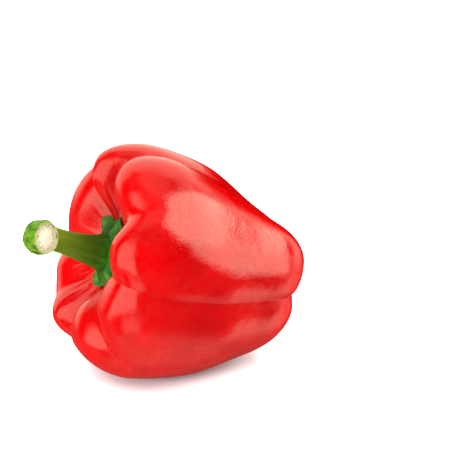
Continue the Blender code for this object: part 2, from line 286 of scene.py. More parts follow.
def grid_mesh(name, points, first_point, last_point, fields):
    """A smooth mesh of stacked rings, closed by a point at each end; a field has a value per grid point."""
    rows, columns = points.shape[:2]
    vertices = np.concatenate([points.reshape(-1, 3), [first_point, last_point]])
    index = np.arange(rows * columns).reshape(rows, columns)
    after = np.roll(index, -1, axis=1)
    quads = np.stack([index[:-1], index[1:], after[1:], after[:-1]], axis=-1).reshape(-1, 4)
    first, last = rows * columns, rows * columns + 1
    faces = quads.tolist()
    faces += [(first, a, b) for a, b in zip(index[0].tolist(), after[0].tolist())]
    faces += [(last, b, a) for a, b in zip(index[-1].tolist(), after[-1].tolist())]
    mesh = bpy.data.meshes.new(name)
    mesh.from_pydata(vertices.tolist(), [], faces)
    for key, values in fields.items():
        kind = "FLOAT_VECTOR" if values.ndim == 3 else "FLOAT"
        field = mesh.attributes.new(key, kind, "POINT")
        flat = values.reshape(rows * columns, -1)
        flat = np.concatenate([flat, flat[:1], flat[-1:]]).astype(np.float32)
        field.data.foreach_set("vector" if kind == "FLOAT_VECTOR" else "value", flat.ravel())
    mesh.shade_smooth()
    return mesh


def face_outwards(mesh):
    """Turns a closed mesh's faces round if they point inwards."""
    count = len(mesh.vertices)
    places = np.zeros(count * 3)
    mesh.vertices.foreach_get("co", places)
    places = places.reshape(-1, 3)
    mesh.calc_loop_triangles()
    corners = np.zeros(len(mesh.loop_triangles) * 3, np.int32)
    mesh.loop_triangles.foreach_get("vertices", corners)
    a, b, c = places[corners.reshape(-1, 3).T]
    if (np.cross(a, b) * c).sum() < 0.0:
        mesh.flip_normals()


def add_piece(name, mesh, materials, node):
    face_outwards(mesh)
    piece = bpy.data.objects.new(name, mesh)
    for skin in materials:
        mesh.materials.append(skin)
    bpy.context.scene.collection.objects.link(piece)
    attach(piece, "root")
    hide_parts(node)


# ---- Node helpers ----
class Nodes:
    """Short calls for building a node tree."""

    def __init__(self, owner):
        owner.use_nodes = True
        self.tree = owner.node_tree
        self.tree.nodes.clear()

    def add(self, kind, settings=None, **inputs):
        node = self.tree.nodes.new(kind)
        for key, value in (settings or {}).items():
            setattr(node, key, value)
        for key, value in inputs.items():
            socket = node.inputs[int(key[1:])] if key[0] == "i" and key[1:].isdigit() else node.inputs[key]
            self.put(socket, value)
        return node

    def put(self, socket, value):
        if isinstance(value, bpy.types.NodeSocket):
            self.tree.links.new(value, socket)
        else:
            socket.default_value = value

    def math(self, operation, a, b, clamp=False):
        node = self.add("ShaderNodeMath", {"operation": operation, "use_clamp": clamp}, i0=a, i1=b)
        return node.outputs[0]

    def times(self, *factors):
        total = factors[0]
        for factor in factors[1:]:
            total = self.math("MULTIPLY", total, factor)
        return total

    def ramp(self, value, low, high, to_low=0.0, to_high=1.0):
        """Eases from to_low to to_high as value goes from low to high."""
        node = self.add("ShaderNodeMapRange", {"interpolation_type": "SMOOTHSTEP"},
                        i0=value, i1=low, i2=high, i3=to_low, i4=to_high)
        return node.outputs[0]

    def dot(self, vector, direction):
        node = self.add("ShaderNodeVectorMath", {"operation": "DOT_PRODUCT"}, i0=vector, i1=direction)
        return node.outputs["Value"]

    def noise(self, vector, scale, detail=2.0, roughness=0.5):
        node = self.add("ShaderNodeTexNoise", None, Vector=vector, Scale=scale, Detail=detail,
                        Roughness=roughness)
        return node.outputs[0]

    def field(self, name, output="Fac"):
        """A value that the mesh holds for each of its points."""
        return self.add("ShaderNodeAttribute", {"attribute_name": name}).outputs[output]

    def mix(self, factor, a, b):
        node = self.add("ShaderNodeMix", {"data_type": "RGBA"}, i0=factor)
        self.put(node.inputs[6], a)
        self.put(node.inputs[7], b)
        return node.outputs[2]

    def place_in_mm(self):
        """The surface's own place in the CAD frame, in millimetres."""
        place = self.add("ShaderNodeTexCoord").outputs["Object"]
        return self.add("ShaderNodeVectorMath", {"operation": "SCALE"}, i0=place, Scale=1.0 / MM).outputs[0]

    def height_of(self, vector):
        return self.add("ShaderNodeSeparateXYZ", None, Vector=vector).outputs["Z"]

    def bump(self, height, strength, distance, normal=None):
        """Relief of a height from 0 to 1 that stands for a distance in metres."""
        node = self.add("ShaderNodeBump", None, Height=height, Strength=strength, Distance=distance)
        if normal is not None:
            self.put(node.inputs["Normal"], normal)
        return node.outputs[0]


def rgb(red, green, blue):
    return (red, green, blue, 1.0)


# ---- Materials. A noise's scale is its features per millimetre ----
SKIN_RED = rgb(0.29, 0.0001, 0.0004)
SKIN_DEEP = rgb(0.235, 0.0001, 0.0004)
SKIN_WARM = rgb(0.32, 0.0008, 0.0006)
SKIN_FLECK = rgb(0.50, 0.055, 0.040)
SCAR = rgb(0.30, 0.12, 0.04)
# Millimetres above the table: flecks come in from the first to the second, shine likewise.
FLECK_LEVELS = (30.0, 20.0)
SHINE_LEVELS = (3.5, 11.0)


def skin_material():
    skin = bpy.data.materials.new("pepper_skin")
    n = Nodes(skin)
    place = n.place_in_mm()
    broad = n.ramp(n.noise(place, 0.055, 3.0), 0.35, 0.68)
    colour = n.mix(broad, SKIN_RED, SKIN_DEEP)
    warm = n.ramp(n.noise(place, 0.12, 4.0, 0.6), 0.52, 0.78, 0.0, 0.5)
    colour = n.mix(warm, colour, SKIN_WARM)
    # Painted shade: the skin darkens towards SKIN_DEEP along the creases.
    colour = n.mix(n.times(n.field("crease"), 0.55), colour, SKIN_DEEP)
    scar_share = n.field("scar")
    colour = n.mix(scar_share, colour, SCAR)
    # Fine pale flecks low on the flanks, in a few patches.
    level = n.height_of(place)
    patches = n.times(n.ramp(n.noise(place, 0.075), 0.46, 0.58), n.ramp(level, *FLECK_LEVELS))
    flecks = n.times(patches, n.ramp(n.noise(place, 1.5, 2.0, 0.6), 0.52, 0.66, 0.0, 0.24))
    colour = n.mix(flecks, colour, SKIN_FLECK)
    pores = n.noise(place, 1.1, 3.0, 0.55)
    waves = n.noise(place, 0.32, 2.0, 0.5)
    pits = n.ramp(n.noise(place, 0.85, 1.0, 0.4), 0.22, 0.32)
    normal = n.bump(pores, 0.45, 0.00010)
    normal = n.bump(waves, 0.55, 0.00012, normal)
    normal = n.bump(pits, 0.35, 0.00005, normal)
    roughness = n.ramp(n.noise(place, 0.5, 3.0), 0.3, 0.7, 0.09, 0.15)
    roughness = n.math("ADD", roughness, n.times(scar_share, 0.4), clamp=True)
    # The lowest few millimetres mirror only the shadow they stand in.
    uneven = n.ramp(n.noise(place, 0.8, 4.0, 0.7), 0.3, 0.7, 0.78, 1.14)
    dull_specks = n.times(n.ramp(n.noise(place, 1.5), 0.60, 0.70), n.ramp(n.noise(place, 0.10), 0.45, 0.60))
    shine = n.times(n.ramp(level, *SHINE_LEVELS, 0.0, 0.5), uneven, n.ramp(dull_specks, 0.0, 1.0, 1.0, 0.55))
    shader = n.add("ShaderNodeBsdfPrincipled", {"subsurface_method": "RANDOM_WALK"}, **{
        "Base Color": colour, "Roughness": roughness, "IOR": 1.5, "Normal": normal,
        "Specular IOR Level": shine,
    })
    n.add("ShaderNodeOutputMaterial", None, Surface=shader.outputs[0])
    return skin


GREEN_SHINE = 0.12
CALYX_DARK = rgb(0.004, 0.030, 0.001)
CALYX_MAIN = rgb(0.010, 0.072, 0.002)
CALYX_PALE = rgb(0.042, 0.120, 0.014)


def calyx_material():
    green = bpy.data.materials.new("calyx_green")
    n = Nodes(green)
    place = n.place_in_mm()
    mottle = n.ramp(n.noise(place, 0.28, 4.0, 0.6), 0.35, 0.65)
    colour = n.mix(mottle, CALYX_DARK, CALYX_MAIN)
    colour = n.mix(n.times(n.field("rib"), 0.8), colour, CALYX_PALE)
    fine = n.noise(place, 1.6, 4.0, 0.6)
    coarse = n.noise(place, 0.7, 3.0, 0.6)
    colour = n.mix(n.ramp(coarse, 0.42, 0.30, 0.0, 0.8), colour, CALYX_DARK)
    colour = n.mix(n.ramp(coarse, 0.60, 0.74, 0.0, 0.6), colour, CALYX_PALE)
    normal = n.bump(fine, 0.6, 0.00015)
    normal = n.bump(coarse, 0.9, 0.0006, normal)
    roughness = n.ramp(fine, 0.3, 0.7, 0.36, 0.58)
    shader = n.add("ShaderNodeBsdfPrincipled", None, **{
        "Base Color": colour, "Roughness": roughness, "Normal": normal,
    })
    shader.inputs["Specular IOR Level"].default_value = GREEN_SHINE
    n.add("ShaderNodeOutputMaterial", None, Surface=shader.outputs[0])
    return green


STEM_DARK = rgb(0.020, 0.052, 0.001)
STEM_MAIN = rgb(0.074, 0.108, 0.001)
STEM_YELLOW = rgb(0.165, 0.190, 0.004)
KNOB_GREEN = rgb(0.060, 0.130, 0.003)
KNOB_DARK = rgb(0.018, 0.062, 0.001)
STREAK_STRETCH = (1.0, 1.0, 0.10)     # draws the streaks out along the stem


def stem_material():
    green = bpy.data.materials.new("stem_green")
    n = Nodes(green)
    along = n.field("along")
    straight = n.field("straight", "Vector")
    drawn_out = n.add("ShaderNodeVectorMath", {"operation": "MULTIPLY"}, i0=straight, i1=STREAK_STRETCH)
    streaks = n.noise(drawn_out.outputs[0], 1.5, 4.0, 0.65)
    colour = n.mix(n.ramp(along, 0.05, 0.55), STEM_DARK, STEM_MAIN)
    colour = n.mix(n.times(n.ramp(along, 0.35, 0.62), 0.55), colour, STEM_YELLOW)
    dark_streak = n.ramp(streaks, 0.30, 0.50, 0.35, 0.0)
    colour = n.mix(dark_streak, colour, STEM_DARK)
    pale_streak = n.ramp(streaks, 0.55, 0.75, 0.0, 0.35)
    colour = n.mix(pale_streak, colour, STEM_YELLOW)
    place = n.place_in_mm()
    knob = n.mix(n.ramp(n.noise(place, 0.30, 4.0, 0.6), 0.36, 0.62), KNOB_DARK, KNOB_GREEN)
    knob = n.mix(n.ramp(n.noise(place, 0.55, 2.0, 0.5), 0.60, 0.74), knob, STEM_YELLOW)
    colour = n.mix(n.ramp(along, 0.66, 0.78), colour, knob)
    colour = n.mix(n.ramp(along, 0.10, 0.0), colour, CALYX_MAIN)
    normal = n.bump(streaks, 0.6, 0.00025)
    normal = n.bump(n.noise(straight, 2.4, 3.0, 0.6), 0.35, 0.00010, normal)
    roughness = n.ramp(streaks, 0.3, 0.7, 0.34, 0.52)
    shader = n.add("ShaderNodeBsdfPrincipled", None, **{
        "Base Color": colour, "Roughness": roughness, "Normal": normal,
    })
    shader.inputs["Specular IOR Level"].default_value = GREEN_SHINE
    n.add("ShaderNodeOutputMaterial", None, Surface=shader.outputs[0])
    return green


PITH = rgb(0.40, 0.39, 0.24)
PITH_PALE = rgb(0.56, 0.55, 0.40)
PITH_GREEN = rgb(0.24, 0.30, 0.07)
PITH_BROWN = rgb(0.10, 0.085, 0.02)


def cut_material():
    """The cut face: cream pith, paler in the middle, greenish at the rim, with a few dark specks."""
    pith = bpy.data.materials.new("stem_cut")
    n = Nodes(pith)
    place = n.place_in_mm()
    share = n.field("cut_share")
    colour = n.mix(n.ramp(share, 0.35, 0.80), PITH_PALE, PITH)
    colour = n.mix(n.ramp(share, 0.80, 0.97, 0.0, 0.9), colour, PITH_GREEN)
    specks = n.ramp(n.noise(place, 1.0, 3.0, 0.65), 0.54, 0.66, 0.0, 0.85)
    ring = n.times(n.ramp(share, 0.40, 0.72), n.ramp(share, 0.98, 0.90))
    colour = n.mix(n.times(specks, ring), colour, PITH_BROWN)
    fibres = n.noise(place, 2.2, 3.0, 0.6)
    normal = n.bump(fibres, 0.6, 0.00025)
    roughness = n.ramp(fibres, 0.3, 0.7, 0.6, 0.85)
    shader = n.add("ShaderNodeBsdfPrincipled", None, **{
        "Base Color": colour, "Roughness": roughness, "Normal": normal,
    })
    shader.inputs["Subsurface Weight"].default_value = 0.15
    shader.inputs["Subsurface Radius"].default_value = (1.2 * MM, 1.0 * MM, 0.6 * MM)
    n.add("ShaderNodeOutputMaterial", None, Surface=shader.outputs[0])
    return pith


# ---- The fruit ----
CREST_ROW_SHARE = 0.30     # share of the rows that lies inside the ring of cheeks
# Where two lobes meet, a sharper line lies in the broad valley: its depth in mm and how far it reaches
# into the lobe before and after it, as a share of a cheek.
ValleyLine = namedtuple("ValleyLine", "mark depth before after")
VALLEY_LINES = (
    ValleyLine(mark=0, depth=0.35, before=0.12, after=0.12),
    ValleyLine(mark=2, depth=0.75, before=0.20, after=0.60),
    ValleyLine(mark=4, depth=0.45, before=0.12, after=0.12),
    ValleyLine(mark=6, depth=0.45, before=0.12, after=0.12),
)
BROAD_REACH = 0.3     # a side that reaches further than this slopes away without an edge


def angle_between(angles, centre):
    return (angles - centre + 180.0) % 360.0 - 180.0


def wrinkle_heights(radius, angle, row_share):
    """How far the fine radial wrinkles stand out of the dimple's wall, in millimetres."""
    total = np.zeros_like(angle)
    inside = smooth_step(CREST_ROW_SHARE + 0.07, CREST_ROW_SHARE - 0.03, row_share)
    for w in WRINKLES:
        bend = 2.5 * np.sin(radius * 0.35 + w.angle)
        arc = np.radians(angle_between(angle + bend / 3.0, w.angle)) * radius
        profile = np.exp(-(arc / w.width) ** 2)
        starts = smooth_step(w.inner - 3.0, w.inner + 1.0, radius)
        ends = smooth_step(w.outer + 4.0, w.outer - 5.0, radius)
        total += w.height * profile * (starts * ends) * inside
    return total


# Where the front flank is fuller than in the coarse shape: millimetres, then where it lies and how wide it is
# round the fruit, in cheeks, and along it, as a share of the rows.
Filling = namedtuple("Filling", "height turn turn_width row row_width")
FILLING = Filling(height=1.3, turn=0.85, turn_width=0.85, row=0.69, row_width=0.085)
# Slight unevenness of the skin, in millimetres; the offset picks a part of the noise.
Unevenness = namedtuple("Unevenness", "height size offset")
UNEVENNESS = (Unevenness(0.15, 14.0, 3.1), Unevenness(0.03, 5.0, 7.7))
SCAR_RADII = (3.2, 1.6)      # the blossom scar fades in between these, in mm


def valley_lines(turn):
    """Depth of the fine lines where the lobes meet, in millimetres."""
    total = np.zeros_like(turn)
    for line in VALLEY_LINES:
        away = (turn - line.mark + CHEEK_COUNT / 2.0) % CHEEK_COUNT - CHEEK_COUNT / 2.0
        reach = np.where(away < 0.0, line.before, line.after)
        share = np.clip(np.abs(away) / reach, 0.0, 1.0)
        edge = np.where(reach > BROAD_REACH, 1.0 + 2.0 * share, 1.0)
        total += line.depth * edge * (1.0 - share) ** 2
    return total


def make_fruit():
    turn = fruit_columns(COLUMNS_PER_CHEEK)
    radius, height, angle = fruit_grid(turn, FRUIT_ROWS)
    points = around(radius, height, angle)
    normals = grid_normals(points)
    outwards = np.sign((normals[FRUIT_ROWS // 2] * points[FRUIT_ROWS // 2]).sum())
    row_share = np.linspace(0.0, 1.0, FRUIT_ROWS)[:, None] * np.ones_like(turn)
    ends = smooth_step(0.02, 0.10, row_share) * smooth_step(0.995, 0.95, row_share)
    raised = wrinkle_heights(radius, angle, row_share)
    for u in UNEVENNESS:
        raised += ends * u.height * noise_at(points, u.size, u.offset)
    on_body = smooth_step(0.36, 0.50, row_share) * smooth_step(0.99, 0.93, row_share)
    raised -= on_body * valley_lines(turn)
    off_turn = (turn - FILLING.turn) / FILLING.turn_width
    off_row = (row_share - FILLING.row) / FILLING.row_width
    raised += FILLING.height * np.exp(-off_turn ** 2 - off_row ** 2)
    points = points + (outwards * raised)[..., None] * normals
    points = press_on_table(points, TABLE)
    # Painted shade: how far the skin is darkened, from 0 to 1, along the valleys and, in the dimple, along
    # the folds.
    valley = crease(turn, VALLEY_MARKS, (1.0,) * 4, (0.10,) * 4, 0.35)
    fold = crease(turn, RIDGE_MARKS, (1.0,) * 4, (0.10,) * 4, 0.25)
    crease_shade_share = valley * smooth_step(0.98, 0.9, row_share) + fold * smooth_step(0.42, 0.30, row_share)
    crease_shade_share = np.clip(crease_shade_share, 0.0, 1.0) ** 2
    scar_share = smooth_step(*SCAR_RADII, radius) * (row_share > 0.9)
    place = to_frame(points)
    fields = {"crease": crease_shade_share, "scar": scar_share}
    mesh = grid_mesh("pepper_fruit", place[1:-1], place[0, 0], place[-1, 0],
                     {key: value[1:-1] for key, value in fields.items()})
    add_piece("pepper_fruit", mesh, [skin_material()], "fruit")


# ---- The calyx ----
WALL_ROWS = 90               # rows of the fruit's grid that make the dimple's floor and wall
UNDERSIDE_SHARES = (0.25, 0.5, 0.7, 0.85, 0.95, 1.0)
RIM_RINGS = ((1.012, 0.25), (1.015, 0.5), (1.0, 0.85), (0.97, 1.05))     # of the outline, of the thickness
TOP_RINGS = 26
COLLAR_EDGE = COLLAR_RADIUS * 1.02


def dimple_heights(radius, grid_radius, grid_height):
    """Height of the dimple's surface at a radius, one per column."""
    return np.array([np.interp(r, grid_radius[:WALL_ROWS, i], grid_height[:WALL_ROWS, i])
                     for i, r in enumerate(radius)])


def make_calyx():
    """Toothed disc like the CAD one, with a crinkled top, ribs running out to the points and a wavy rim."""
    turn = np.arange(CALYX_COLUMNS) * CHEEK_COUNT / CALYX_COLUMNS
    grid_radius, grid_height, angles = fruit_grid(turn, FRUIT_ROWS)
    angle = angles[0]
    turns = (angle - CALYX_TURN) * CALYX_TEETH / 360.0
    to_point = 1.0 - 4.0 * np.abs(turns - np.round(turns))
    to_point = np.sign(to_point) * np.abs(to_point) ** 0.8
    rim_place = around(np.full_like(angle, CALYX_RADIUS), 0.0, angle)
    ragged = noise_at(rim_place, 1.9, 11.0) * 0.45 + noise_at(rim_place, 4.5, 2.0) * 0.5
    outline = CALYX_RADIUS + CALYX_TOOTH * to_point + ragged
    rings = []
    ribs = []

    def floor_at(share):
        return dimple_heights(outline * share, grid_radius, grid_height) + GAP

    for share in UNDERSIDE_SHARES:
        rings.append(around(outline * share, floor_at(share), angle))
        ribs.append(np.zeros_like(angle))
    lift = 1.0 + 0.25 * noise_at(rim_place, 3.0, 5.0)
    for share, thick in RIM_RINGS:
        rings.append(around(outline * share, floor_at(min(share, 1.0)) + CALYX_RIM * thick * lift, angle))
        ribs.append(np.full_like(angle, 0.6))
    edge_share, edge_thickness = RIM_RINGS[-1]
    rib_wave = 0.5 + 0.5 * np.cos(2.0 * np.pi * turns)
    minor_wave = 0.5 + 0.5 * np.cos(2.0 * np.pi * (turns * 3.0 + 0.15))
    for k in range(1, TOP_RINGS + 1):
        inward = k / TOP_RINGS
        radius = outline * edge_share * (1.0 - inward) + COLLAR_EDGE * inward
        rim_height = floor_at(edge_share) + CALYX_RIM * edge_thickness * lift
        flat = floor_at(0.8) + CALYX_RIM * 1.5
        slope = smooth_step(0.25, 1.0, np.full_like(angle, inward)) ** 1.3
        height = rim_height + (flat - rim_height) * min(inward / 0.35, 1.0)
        height = height * (1.0 - slope) + COLLAR_HEIGHT * slope
        fade = math.sin(math.pi * min(inward * 1.05, 1.0)) ** 0.7
        place = around(radius, height, angle)
        crinkle = noise_at(place, 2.2, 21.0) * 0.55 + noise_at(place, 1.0, 4.0) * 0.30
        height = height + fade * (0.55 * rib_wave ** 3 + 0.22 * minor_wave ** 2 - 0.2 + crinkle)
        rings.append(around(radius, height, angle))
        ribs.append(fade * np.clip(rib_wave ** 4 + 0.4 * minor_wave ** 4, 0.0, 1.0))
    rings.append(around(COLLAR_EDGE * 0.6 * np.ones_like(angle), COLLAR_HEIGHT, angle))
    ribs.append(np.zeros_like(angle))
    place = to_frame(np.array(rings))
    mesh = grid_mesh("pepper_calyx", place, to_frame((0.0, 0.0, GAP)), to_frame((0.0, 0.0, COLLAR_HEIGHT)),
                     {"rib": np.array(ribs)})
    add_piece("pepper_calyx", mesh, [calyx_material()], "calyx")


# ---- The stem ----
PATH_SAMPLES = 600
CAP_SHARES = (0.985, 0.955, 0.92, 0.88, 0.82, 0.75, 0.66, 0.56, 0.45, 0.33, 0.2, 0.09)
BEVEL_SHARE = 0.93           # the cut's rim is bevelled outside this share of its radius, and rough inside it
STREAK_RADIUS = 5.0          # mm; the streaks are laid out on a straight stem of this radius


def stem_guide():
    """Control points of the stem's centre line and its radius, as in the CAD source."""
    foot = COLLAR_HEIGHT + GAP
    hook = STEM_REACH - foot
    guide = (
        (0.00, 0.00, 0.00, COLLAR_RADIUS - 0.4),
        (0.04, 0.03, 0.09, STEM_RADIUS * 1.5),
        (0.15, 0.10, 0.28, STEM_RADIUS * 1.3),
        (0.30, 0.18, 0.48, STEM_RADIUS * 1.15),
        (0.48, 0.18, 0.70, STEM_RADIUS * 1.02),
        (0.60, 0.16, 0.93, STEM_RADIUS * 1.2),
        (0.72, 0.50, 1.04, KNOB_RADIUS * 1.12),
        (0.90, 0.85, 1.02, KNOB_RADIUS * 0.98),
        (1.10, 1.30, 0.98, KNOB_RADIUS * 0.84),
        (1.30, 1.80, 0.92, KNOB_RADIUS * 0.80),
    )
    points = np.array([(g[0] * STEM_RISE, -g[1] * STEM_SIDEWAYS, foot + g[2] * hook) for g in guide])
    return points, np.array([g[3] for g in guide])


class Tube:
    """The stem's centre line, radius and cross directions, to be read at any share of its length."""

    def __init__(self):
        points, radii = stem_guide()
        self.share = np.linspace(0.0, 1.0, PATH_SAMPLES)
        weights = spline_weights(len(points), self.share)
        self.path = weights @ points
        self.radius = weights @ radii
        tangents = np.gradient(self.path, axis=0)
        tangents[0] = (0.0, 0.0, 1.0)
        side = np.array((1.0, 0.0, 0.0))
        self.side = np.zeros_like(self.path)
        self.across = np.zeros_like(self.path)
        for i, tangent in enumerate(tangents):
            tangent = tangent / np.linalg.norm(tangent)
            side = side - tangent * (side @ tangent)
            side = side / np.linalg.norm(side)
            self.side[i] = side
            self.across[i] = np.cross(tangent, side)

    def read(self, field, share):
        if field.ndim == 1:
            return np.interp(share, self.share, field)
        return np.stack([np.interp(share, self.share, field[:, k]) for k in range(3)], axis=-1)

    def at(self, share, angle, stretch=1.0):
        """Point of the tube's skin at a share of its length and an angle, with its radius stretched."""
        radius = (self.read(self.radius, share) * stretch)[..., None]
        side = self.read(self.side, share)
        across = self.read(self.across, share)
        ring = np.cos(angle)[..., None] * side + np.sin(angle)[..., None] * across
        return self.read(self.path, share) + radius * ring


def stem_relief(share, angle, place):
    """How much the stem's radius grows or shrinks: soft ribs, bumps on the knob and flutes at the foot."""
    ribs = 0.045 * np.cos(5.0 * angle + 0.6) + 0.02 * np.cos(9.0 * angle + 2.0 + 3.0 * share)
    knob = smooth_step(0.55, 0.68, share)
    relief = ribs * (1.0 - 0.75 * knob) * smooth_step(0.0, 0.06, share)
    bumps = noise_at(place, 2.6, 31.0) * 0.075 + noise_at(place, 1.3, 9.0) * 0.02
    relief = relief + bumps * (0.25 + 0.75 * knob)
    flutes = 0.05 * np.cos(11.0 * angle) * smooth_step(0.16, 0.0, share)
    return 1.0 + relief + flutes


def make_stem():
    tube = Tube()
    angles = 2.0 * np.pi * np.arange(STEM_SIDES) / STEM_SIDES
    cut = np.array((STEM_RISE, -STEM_SIDEWAYS, STEM_REACH))
    normal = np.array(CUT_NORMAL) / np.linalg.norm(CUT_NORMAL)
    share = tube.share[:, None] * np.ones(STEM_SIDES)
    turn = angles[None, :] * np.ones((PATH_SAMPLES, 1))
    beyond = (tube.at(share, turn) - cut) @ normal
    beyond[: PATH_SAMPLES // 2] = -1.0
    first = (beyond > 0.0).argmax(axis=0)
    columns = np.arange(STEM_SIDES)
    before, past = beyond[first - 1, columns], beyond[first, columns]
    ends = (first - 1 + before / (before - past)) / (PATH_SAMPLES - 1)
    rows = np.linspace(0.0, 1.0, STEM_ROWS)
    share = rows[:, None] * ends[None, :]
    turn = angles[None, :] * np.ones((STEM_ROWS, 1))
    place = tube.at(share, turn)
    relief = stem_relief(share, turn, place)
    fade = smooth_step(1.0, 0.93, rows)[:, None]
    place = tube.at(share, turn, 1.0 + (relief - 1.0) * (0.35 + 0.65 * fade))
    # The last ring is moved onto the cut plane again, and the cap's rings follow it inwards.
    slope = (place[-1] - cut) @ normal
    place[-1] = place[-1] - slope[:, None] * normal
    rim = place[-1]
    middle = rim.mean(axis=0)
    cap = []
    cap_share = []
    for inward in CAP_SHARES:
        ring = middle + (rim - middle) * inward
        rough = noise_at(ring, 1.1, 13.0) * 0.14 + noise_at(ring, 3.0, 1.0) * 0.12
        sunk = -0.38 * smooth_step(0.97, 0.88, inward) + 0.35 * smooth_step(0.7, 0.1, inward)
        bevel = 0.10 if inward > BEVEL_SHARE else 0.0
        cap.append(ring + (bevel + sunk + rough * (inward < BEVEL_SHARE))[:, None] * normal)
        cap_share.append(np.full(STEM_SIDES, inward))
    points = np.concatenate([place, np.array(cap)])
    length = STEM_REACH * 1.15
    along = np.concatenate([share, np.ones((len(cap), STEM_SIDES)) * ends])
    straight = np.stack([np.cos(turn) * STREAK_RADIUS, np.sin(turn) * STREAK_RADIUS, share * length], axis=-1)
    straight = np.concatenate([straight, np.repeat(straight[-1:], len(cap), axis=0)])
    cut_share = np.concatenate([np.ones_like(share), np.array(cap_share)])
    fields = {"along": along, "straight": straight, "cut_share": cut_share}
    mesh = grid_mesh("pepper_stem", to_frame(points), to_frame(tube.path[0]), to_frame(middle), fields)
    rows_of_faces = len(points) - 1
    slots = np.zeros(len(mesh.polygons), np.int32)
    slots[(STEM_ROWS - 1) * STEM_SIDES: rows_of_faces * STEM_SIDES] = 1
    slots[-STEM_SIDES:] = 1
    add_piece("pepper_stem", mesh, [stem_material(), cut_material()], "stem")
    mesh.polygons.foreach_set("material_index", slots)


# ---- Studio ----
def direction(azimuth, elevation):
    """Unit vector: azimuth 0 is -Y and 90 is +X, elevation is above the horizon, both in degrees."""
    a, e = math.radians(azimuth), math.radians(elevation)
    return Vector((math.sin(a) * math.cos(e), -math.cos(a) * math.cos(e), math.sin(e)))


# What the glossy skin mirrors, by its direction from the pepper: azimuth and elevation in degrees.
# Corners of the big softbox on the right, and of the glow below it.
KEY_CORNERS = ((4.0, 67.0), (113.0, 19.0), (72.0, 1.0), (45.0, 13.0), (29.0, 28.0), (16.0, 48.0))
GLOW_CORNERS = (
    (92.0, 18.0), (89.0, 6.0), (85.0, -3.0), (79.0, -14.0), (68.0, -14.0), (58.0, -6.0), (40.0, 10.0),
)
# Poles of the planes along which three more panels end.
LEFT_EDGE = (-17.5, -18.0)
BACK_EDGE = (239.0, 45.0)
TABLE_EDGE = (182.5, -38.0)
KEY_RADIANCE = 5.4
GLOW_RADIANCE = 3.4
LEFT_RADIANCE = 2.4
LEFT_TABLE_RADIANCE = 1.3
BACK_RADIANCE = 1.4
NEAR_TABLE_RADIANCE = 0.6
RIGHT_TABLE_RADIANCE = 1.5
BACK_TABLE_RADIANCE = 0.40
TOP_RADIANCE = 0.5
LAMP_WARMTH = rgb(1.0, 1.0, 0.78)
TABLE_BLUSH = rgb(1.0, 0.28, 0.24)     # light that the red fruit throws on the table behind it
AMBIENT_LEVEL = 0.60
AMBIENT_OVERHEAD = 5.0
PANEL_EDGE = (-0.045, 0.07)            # sines of the angles between which a softbox's edge fades in
NARROW_EDGE = (-0.01, 0.05)
WHITE = rgb(1.0, 1.0, 1.0)


def past(n, ray, pole, low, high):
    """1 for rays on the pole's side of the plane square to it; the edge fades in from low to high."""
    return n.ramp(n.dot(ray, direction(*pole)), low, high)


def facing(n, ray, azimuth, width=0.08):
    """1 for rays within 90 degrees of an azimuth, with a soft edge."""
    return past(n, ray, (azimuth, 0.0), -0.25 * width, 0.75 * width)


def panel(n, ray, corners):
    """1 for rays inside a convex outline of corners, with a soft edge."""
    places = [direction(*corner) for corner in corners]
    centre = sum(places, Vector())
    inside = None
    for here, there in zip(places, places[1:] + places[:1]):
        edge = here.cross(there).normalized()
        edge = edge if edge.dot(centre) > 0.0 else -edge
        side = n.ramp(n.dot(ray, edge), *PANEL_EDGE)
        inside = side if inside is None else n.times(inside, side)
    return inside


def brightest(n, first, *others):
    for other in others:
        first = n.math("MAXIMUM", first, other)
    return first


def softboxes(n, ray, rise):
    """The softbox and its glow on the right, panels on the left and behind, and a bright top."""
    key = n.times(panel(n, ray, KEY_CORNERS), KEY_RADIANCE)
    glow = n.times(panel(n, ray, GLOW_CORNERS), GLOW_RADIANCE)
    left = n.times(facing(n, ray, -130.0), past(n, ray, LEFT_EDGE, -0.015, 0.04), n.ramp(rise, 0.90, 0.45),
                   n.ramp(rise, -0.36, -0.28, 0.0, LEFT_RADIANCE))
    back = n.times(past(n, ray, BACK_EDGE, *NARROW_EDGE), facing(n, ray, 140.0, 0.3), n.ramp(rise, 0.95, 0.6),
                   n.ramp(rise, -0.30, 0.02, 0.3, BACK_RADIANCE))
    high_back = n.times(facing(n, ray, 200.0, 0.2), facing(n, ray, 110.0, 0.2), n.ramp(rise, 0.22, 0.40),
                        n.ramp(rise, 0.98, 0.80, TOP_RADIANCE, BACK_RADIANCE))
    top = n.ramp(rise, 0.88, 0.97, 0.0, TOP_RADIANCE)
    return key, glow, left, back, high_back, top


def table_patches(n, ray, rise):
    """The table on the left, on the right, behind and near the pepper."""
    left = n.times(facing(n, ray, -125.0), facing(n, ray, 20.0), n.ramp(rise, -0.36, -0.46),
                   n.ramp(rise, -0.75, -0.6, 0.0, LEFT_TABLE_RADIANCE))
    right = n.times(facing(n, ray, 160.0, 0.05), past(n, ray, TABLE_EDGE, *NARROW_EDGE),
                    facing(n, ray, 32.0, 0.3), n.ramp(rise, -0.85, -0.55, 0.4, RIGHT_TABLE_RADIANCE))
    back = n.times(facing(n, ray, 180.0, 0.3), n.ramp(rise, -0.20, -0.35, 0.0, BACK_TABLE_RADIANCE))
    near = n.ramp(rise, -0.55, -0.80, 0.0, NEAR_TABLE_RADIANCE)
    return left, right, back, near


